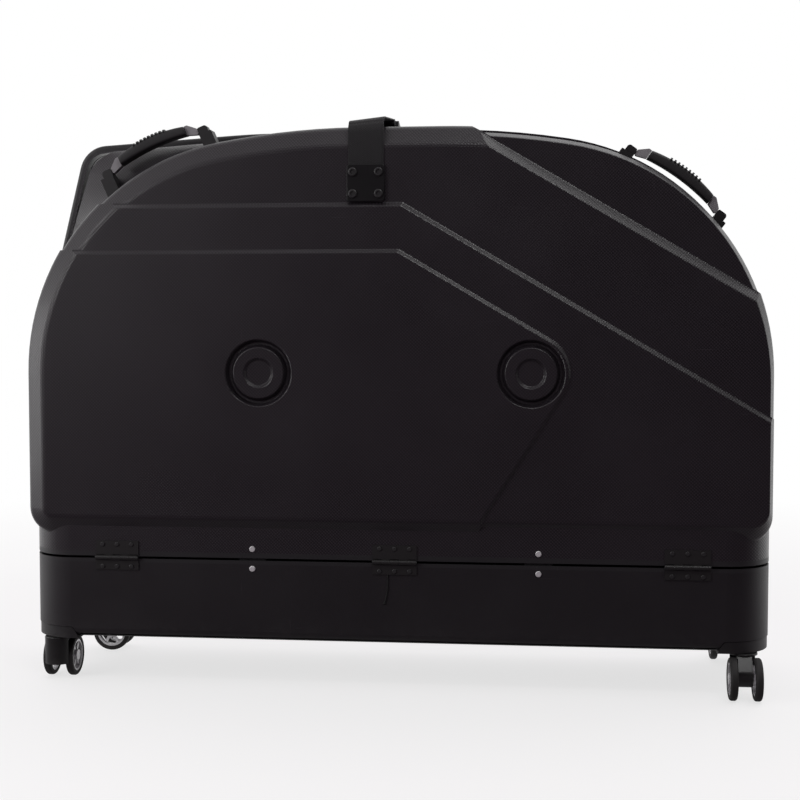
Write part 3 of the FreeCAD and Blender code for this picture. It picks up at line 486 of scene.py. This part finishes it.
# Webbing: an edge as wide as the strap, extruded along its path and rounded at the bends
def webbing(name, path, x, width, bend):
    strap = start_piece(name, bpy.ops.mesh.primitive_plane_add, size=1.0)
    in_edit("VERT")
    for point in strap.data.vertices:
        point.select = point.co.y > 0
    bpy.ops.object.mode_set(mode="EDIT")
    bpy.ops.mesh.delete(type="VERT")
    bpy.ops.mesh.select_all(action="SELECT")
    bpy.ops.transform.resize(value=(width, 1, 1))
    bpy.ops.transform.translate(value=(x, path[0][0] + 0.5, path[0][1]))
    for (y0, z0), (y1, z1) in zip(path, path[1:]):
        bpy.ops.mesh.extrude_region_move(TRANSFORM_OT_translate={"value": (0, y1 - y0, z1 - z0)})
    bpy.ops.object.mode_set(mode="OBJECT")
    corners = path[1:-1]
    if bend > 0:
        pick_edges(strap, lambda a, b: abs(a.x - b.x) > width / 2 and any(
            math.hypot(a.y - y, a.z - z) < 1e-4 for y, z in corners))
        bpy.ops.mesh.bevel(offset=bend, segments=5, affect="EDGES")
        bpy.ops.object.mode_set(mode="OBJECT")
    pick_edges(strap, lambda a, b: abs(a.x - b.x) > width / 2)
    bpy.ops.mesh.subdivide(number_cuts=9)
    bpy.ops.object.mode_set(mode="OBJECT")
    along = strap.data.attributes.new("along", "FLOAT", "POINT")
    for i, point in enumerate(strap.data.vertices):
        along.data[i].value = measured_along(path, point.co.y, point.co.z)
    return strap


def offset_path(path, gap):
    moved = []
    for i, (y, z) in enumerate(path):
        normals = []
        for (y0, z0), (y1, z1) in zip(path, path[1:]):
            length = math.hypot(y1 - y0, z1 - z0)
            normals.append(((z1 - z0) / length, (y0 - y1) / length))
        before = normals[max(i - 1, 0)]
        after = normals[min(i, len(normals) - 1)]
        ny, nz = before[0] + after[0], before[1] + after[1]
        scale = 2 * gap / (ny * ny + nz * nz)
        moved.append((y + ny * scale, z + nz * scale))
    return moved


def finish_webbing(strap, thickness, body, node):
    apply_modifier(strap, "thickness", "SOLIDIFY", thickness=thickness, offset=0.0)
    apply_modifier(strap, "edges", "BEVEL", width=WEBBING_ROUND, segments=2, limit_method="ANGLE",
                   angle_limit=math.radians(50))
    outward(strap)
    smooth(strap, 50)
    strap.data.materials.clear()
    strap.data.materials.append(webbing_cloth)
    if body:
        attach(strap, body)
    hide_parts(node)


# Closing strap over the top edge, front and rear half
STRAP_X = -0.0384
STRAP_WIDTH = 0.056
STRAP_THICKNESS = 0.0022
STRAP_BEND = 0.009
STRAP_LEAN = 0.112
LEAN_FROM_Z = 0.880
LEAN_OVER = 0.030
front_run = [(0.0020, 0.9230), (-0.1290, 0.9090), (-0.1390, 0.8970), (-0.1390, 0.7840)]
rear_run = [(0.0590, 0.9105), (0.1290, 0.9090), (0.1390, 0.8970), (0.1390, 0.7840)]


def closing_strap(name, run, outside, body, node, lean):
    path = offset_path(run, outside * STRAP_THICKNESS / 2)
    strap = webbing(name, path, STRAP_X, STRAP_WIDTH, STRAP_BEND)
    for point in strap.data.vertices:
        raised = min(max((point.co.z - LEAN_FROM_Z) / LEAN_OVER, 0.0), 1.0)
        point.co.z += lean * raised * (point.co.x - STRAP_X)
    finish_webbing(strap, STRAP_THICKNESS, body, node)


# Inner web strips behind the rivet pairs
WEB_Y = -0.1352
WEB_Z = (0.183, 0.235)
WEB_WIDTH = 0.044
WEB_THICKNESS = 0.0020
WEB_ROWS = 12


def web_strip(side, x):
    row = (WEB_Z[1] - WEB_Z[0]) / WEB_ROWS
    path = [(WEB_Y, WEB_Z[0] + row * i) for i in range(WEB_ROWS + 1)]
    strip = webbing("inner_web_" + side, path, x, WEB_WIDTH, 0.0)
    finish_webbing(strip, WEB_THICKNESS, None, "web_strip_" + side)
    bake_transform(strip)


# Carry grips: a bar bent over its span, with a ribbed back
GRIP_HALF = 0.0597
GRIP_WIDTH = 0.026
GRIP_RISE = 0.0160
GRIP_DROOP = 0.0066
GRIP_HALF_THICK = 0.0090
GRIP_TAPER = 0.0014
GRIP_ROUND = 0.0045
RIB_HEIGHT = 0.0028
RIB_ROUND = 0.0005
GRIP_Y = -0.072
GRIP_SEGMENTS = 35
RIBBED_SEGMENTS = 17


def carry_grip(side, centre, tilt):
    grip = start_piece("carry_grip_" + side, bpy.ops.mesh.primitive_cube_add, size=1.0)
    bpy.ops.object.mode_set(mode="EDIT")
    bpy.ops.mesh.select_all(action="SELECT")
    bpy.ops.transform.resize(value=(2 * GRIP_HALF, GRIP_WIDTH, 1.0))
    bpy.ops.object.mode_set(mode="OBJECT")
    pick_edges(grip, lambda a, b: abs(a.x - b.x) > GRIP_HALF)
    bpy.ops.mesh.subdivide(number_cuts=GRIP_SEGMENTS - 1)
    bpy.ops.object.mode_set(mode="OBJECT")
    for point in grip.data.vertices:
        share = (point.co.x / GRIP_HALF) ** 2
        middle = GRIP_RISE - GRIP_DROOP * share
        half = GRIP_HALF_THICK - GRIP_TAPER * share
        point.co.z = middle + math.copysign(half, point.co.z)
    pick_edges(grip, lambda a, b: abs(a.y - b.y) < 1e-6 and abs(a.x - b.x) > 1e-4)
    bpy.ops.mesh.bevel(offset=GRIP_ROUND, segments=4, affect="EDGES")
    bpy.ops.object.mode_set(mode="OBJECT")
    step = 2 * GRIP_HALF / GRIP_SEGMENTS
    first = (GRIP_SEGMENTS - RIBBED_SEGMENTS) // 2

    def on_rib(centre_point, normal):
        index = int((centre_point.x + GRIP_HALF) / step)
        ribbed = first <= index < first + RIBBED_SEGMENTS and (index - first) % 2 == 0
        return ribbed and normal.z > 0.55

    pick_faces(grip, on_rib)
    bpy.ops.mesh.extrude_region_shrink_fatten(TRANSFORM_OT_shrink_fatten={"value": RIB_HEIGHT})
    bpy.ops.object.mode_set(mode="OBJECT")
    apply_modifier(grip, "rib_edges", "BEVEL", width=RIB_ROUND, segments=2, limit_method="ANGLE",
                   angle_limit=math.radians(40))
    turn = Matrix.Rotation(math.radians(-tilt), 4, "Y")
    grip.data.transform(Matrix.Translation(centre) @ turn)
    outward(grip)
    smooth(grip, 40)
    grip.data.materials.clear()
    grip.data.materials.append(finishes["grip"])
    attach(grip, "handle_" + side)
    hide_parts("handle_grip_" + side)


# Padding: the node's own outline, remeshed soft, then sewn down along its channels
PADDING_VOXEL = 0.006
LINER_PITCH = 0.130
LINER_CHANNEL = 0.011
LINER_SINK = 0.0060
TRAY_PITCH = 0.125
TRAY_CHANNEL = 0.010
TRAY_SINK = 0.007
TRAY_CROWN = 0.004


def soft_copy(name, node, voxel):
    mesh = nodes[node].data.copy()
    piece = bpy.data.objects.new(name, mesh)
    mesh.name = name
    scene.collection.objects.link(piece)
    bpy.ops.object.select_all(action="DESELECT")
    piece.select_set(True)
    bpy.context.view_layer.objects.active = piece
    bpy.ops.object.mode_set(mode="EDIT")
    bpy.ops.mesh.select_all(action="SELECT")
    bpy.ops.mesh.remove_doubles(threshold=0.00001)
    bpy.ops.object.mode_set(mode="OBJECT")
    apply_modifier(piece, "remesh", "REMESH", mode="VOXEL", voxel_size=voxel)
    apply_modifier(piece, "soften", "SMOOTH", factor=0.5, iterations=6)
    return piece


def channel_depth(a, b, pitch, width):
    gaps = []
    for value in ((a + b) / pitch, (a - b) / pitch):
        gaps.append(abs(value - round(value)) * pitch / math.sqrt(2))
    return math.exp(-(min(gaps) / width) ** 2)


def finish_padding(piece, body, node, material):
    smooth(piece, 80)
    piece.data.materials.clear()
    piece.data.materials.append(material)
    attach(piece, body)
    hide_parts(node)


def liner_padding(name, node, body, facing):
    piece = soft_copy(name, node, PADDING_VOXEL)
    low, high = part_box(node)
    back = low.y if facing > 0 else high.y
    for point in piece.data.vertices:
        proud = abs(point.co.y - back) / (high.y - low.y)
        sink = LINER_SINK * channel_depth(point.co.x, point.co.z, LINER_PITCH, LINER_CHANNEL)
        point.co.y -= facing * proud * sink
    finish_padding(piece, body, node, padding_cloth)


def tray_padding():
    piece = soft_copy("tray_padding", "tray_pad", PADDING_VOXEL)
    low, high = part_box("tray_pad")
    for point in piece.data.vertices:
        proud = (point.co.z - low.z) / (high.z - low.z)
        across = math.cos(math.pi * point.co.y / (high.y - low.y))
        row = abs(point.co.x / TRAY_PITCH - round(point.co.x / TRAY_PITCH)) * TRAY_PITCH
        sink = TRAY_SINK * math.exp(-(row / TRAY_CHANNEL) ** 2) + TRAY_CROWN * (1 - across)
        point.co.z -= proud * sink
    finish_padding(piece, "case_base", "tray_pad", padding_cloth)


# Thin cord tail under the middle hinge, ending in a knot
CORD_RADIUS = 0.0010
KNOT_RADIUS = 0.0016
KNOT_THICK = 0.0009
KNOT_VOXEL = 0.00022
KNOT_TURN = 65
CORD_ROUTE = [(-0.0040, -0.1414, 0.1880), (-0.0040, -0.1414, 0.1720), (-0.0043, -0.1414, 0.1590),
              (-0.0090, -0.1414, 0.1417)]


def cord_tail():
    data = bpy.data.curves.new("cord_tail", "CURVE")
    data.dimensions = "3D"
    data.bevel_depth = CORD_RADIUS
    data.bevel_resolution = 4
    data.use_fill_caps = True
    spline = data.splines.new("NURBS")
    spline.points.add(len(CORD_ROUTE) - 1)
    for point, place in zip(spline.points, CORD_ROUTE):
        point.co = place + (1.0,)
    spline.order_u = 3
    spline.use_endpoint_u = True
    spline.resolution_u = 16
    tail = bpy.data.objects.new("cord_tail", data)
    scene.collection.objects.link(tail)
    data.materials.append(cord_fibre)
    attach(tail, "case_base")
    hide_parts("tie_cord")
    return tail


def cord_knot():
    place = CORD_ROUTE[-1]
    knot = start_piece("cord_knot", bpy.ops.mesh.primitive_torus_add, major_segments=28, minor_segments=10,
                       major_radius=KNOT_RADIUS, minor_radius=KNOT_THICK)
    bpy.ops.object.mode_set(mode="EDIT")
    bpy.ops.mesh.select_all(action="SELECT")
    bpy.ops.mesh.duplicate()
    bpy.ops.transform.rotate(value=math.radians(KNOT_TURN), orient_axis="X", center_override=(0, 0, 0))
    bpy.ops.mesh.select_all(action="SELECT")
    bpy.ops.transform.translate(value=place)
    bpy.ops.object.mode_set(mode="OBJECT")
    apply_modifier(knot, "merge", "REMESH", mode="VOXEL", voxel_size=KNOT_VOXEL)
    smooth(knot, 80)
    knot.data.materials.clear()
    knot.data.materials.append(cord_fibre)
    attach(knot, "case_base")
    return knot


closing_strap("closing_strap_front", front_run, 1, "front_cover", "front_strap", STRAP_LEAN)
closing_strap("closing_strap_rear", rear_run, -1, "case_base", "rear_strap", 0.0)
web_strip("left", -0.2236)
web_strip("right", 0.2353)
carry_grip("left", (-0.3958, GRIP_Y, 0.8699), 23.4)
carry_grip("right", (0.4485, GRIP_Y, 0.8115), -36.6)
liner_padding("front_padding", "front_liner", "front_cover", 1)
liner_padding("rear_padding", "rear_liner", "case_base", -1)
tray_padding()
tail = cord_tail()
knot = cord_knot()


# Rays that see the white background: camera and clear rays, and mirrored ones by the given share
def background_rays(tree, mirrored_share):
    path = add_node(tree, "ShaderNodeLightPath")
    mirrored = math_node(tree, "MULTIPLY", path.outputs["Is Glossy Ray"], mirrored_share)
    clear = math_node(tree, "MAXIMUM", mirrored, path.outputs["Is Transmission Ray"])
    return math_node(tree, "MAXIMUM", path.outputs["Is Camera Ray"], clear)


# Floor, backdrop light and lamps
FLOOR_SIZE = 30.0


def studio_floor():
    bpy.ops.object.select_all(action="DESELECT")
    bpy.ops.mesh.primitive_plane_add(size=FLOOR_SIZE, location=(0, 0, 0))
    floor = bpy.context.active_object
    floor.name = "studio_floor"
    material, tree, shader, where = start_material("studio_floor")
    shader.inputs["Base Color"].default_value = (0.94, 0.92, 0.92, 1)
    shader.inputs["Roughness"].default_value = 0.75
    glow = add_node(tree, "ShaderNodeEmission")
    glow.inputs["Strength"].default_value = 1.0
    seen = background_rays(tree, map_range(tree, split(tree, where["Object"])[1], -0.3, 0.3, 0.0, 1.0))
    away = add_node(tree, "ShaderNodeVectorMath", operation="LENGTH")
    feed(tree, away.inputs[0], where["Object"])
    far = map_range(tree, away.outputs["Value"], 0.9, 2.6, 0.70, 1.0)
    lit = add_node(tree, "ShaderNodeMixShader")
    feed(tree, lit.inputs[0], far)
    feed(tree, lit.inputs[1], shader.outputs[0])
    feed(tree, lit.inputs[2], glow.outputs[0])
    dim = add_node(tree, "ShaderNodeBsdfDiffuse")
    dim.inputs["Color"].default_value = (0.17, 0.14, 0.16, 1)
    blend = add_node(tree, "ShaderNodeMixShader")
    feed(tree, blend.inputs[0], seen)
    feed(tree, blend.inputs[1], dim.outputs[0])
    feed(tree, blend.inputs[2], lit.outputs[0])
    feed(tree, tree.nodes["Material Output"].inputs["Surface"], blend.outputs[0])
    floor.data.materials.append(material)


def studio_world():
    world = bpy.data.worlds.new("studio_world")
    world.use_nodes = True
    scene.world = world
    tree = world.node_tree
    background = tree.nodes["Background"]
    where = add_node(tree, "ShaderNodeTexCoord")
    x, y, z = split(tree, where.outputs["Generated"])
    behind = map_range(tree, y, -0.35, 0.35, 0.0, 1.0)
    overhead = map_range(tree, y, -0.4, 0.4, 0.16, 1.0)
    above = math_node(tree, "MULTIPLY", map_range(tree, z, 0.35, 0.9, 0.0, 1.0), overhead)
    light = math_node(tree, "MAXIMUM", behind, above)
    front = mix_color(tree, map_range(tree, x, -0.12, 0.20, 0.0, 1.0),
                      (0.115, 0.095, 0.112, 1), (0.016, 0.014, 0.016, 1))
    room = mix_color(tree, light, front, (1.0, 0.94, 0.99, 1))
    seen = background_rays(tree, light)
    feed(tree, background.inputs["Color"], mix_color(tree, seen, room, (1.0, 1.0, 1.0, 1)))
    background.inputs["Strength"].default_value = 1.0


def softbox(name, place, aim, size, power):
    data = bpy.data.lights.new(name, "AREA")
    data.shape = "RECTANGLE"
    data.size = size[0]
    data.size_y = size[1]
    data.energy = power
    lamp = bpy.data.objects.new(name, data)
    lamp.location = place
    heading = (aim[0] - place[0], aim[1] - place[1], aim[2] - place[2])
    flat = math.hypot(heading[0], heading[1])
    lamp.rotation_euler = (math.atan2(flat, -heading[2]), 0, math.atan2(heading[1], heading[0]) - math.pi / 2)
    scene.collection.objects.link(lamp)


studio_floor()
studio_world()
softbox("softbox_left", (-2.5, -2.1, 1.6), (-0.2, -0.1, 0.5), (1.4, 1.6), 30.0)
softbox("softbox_side", (-2.8, -0.3, 0.6), (-0.5, 0, 0.5), (0.7, 1.0), 8.0)
softbox("softbox_right", (1.2, 0.2, 2.6), (0.3, -0.1, 0.7), (1.6, 0.7), 6.0)
softbox("softbox_front", (0.9, -1.6, 2.7), (0.2, -0.1, 0.7), (1.0, 0.4), 14.0)
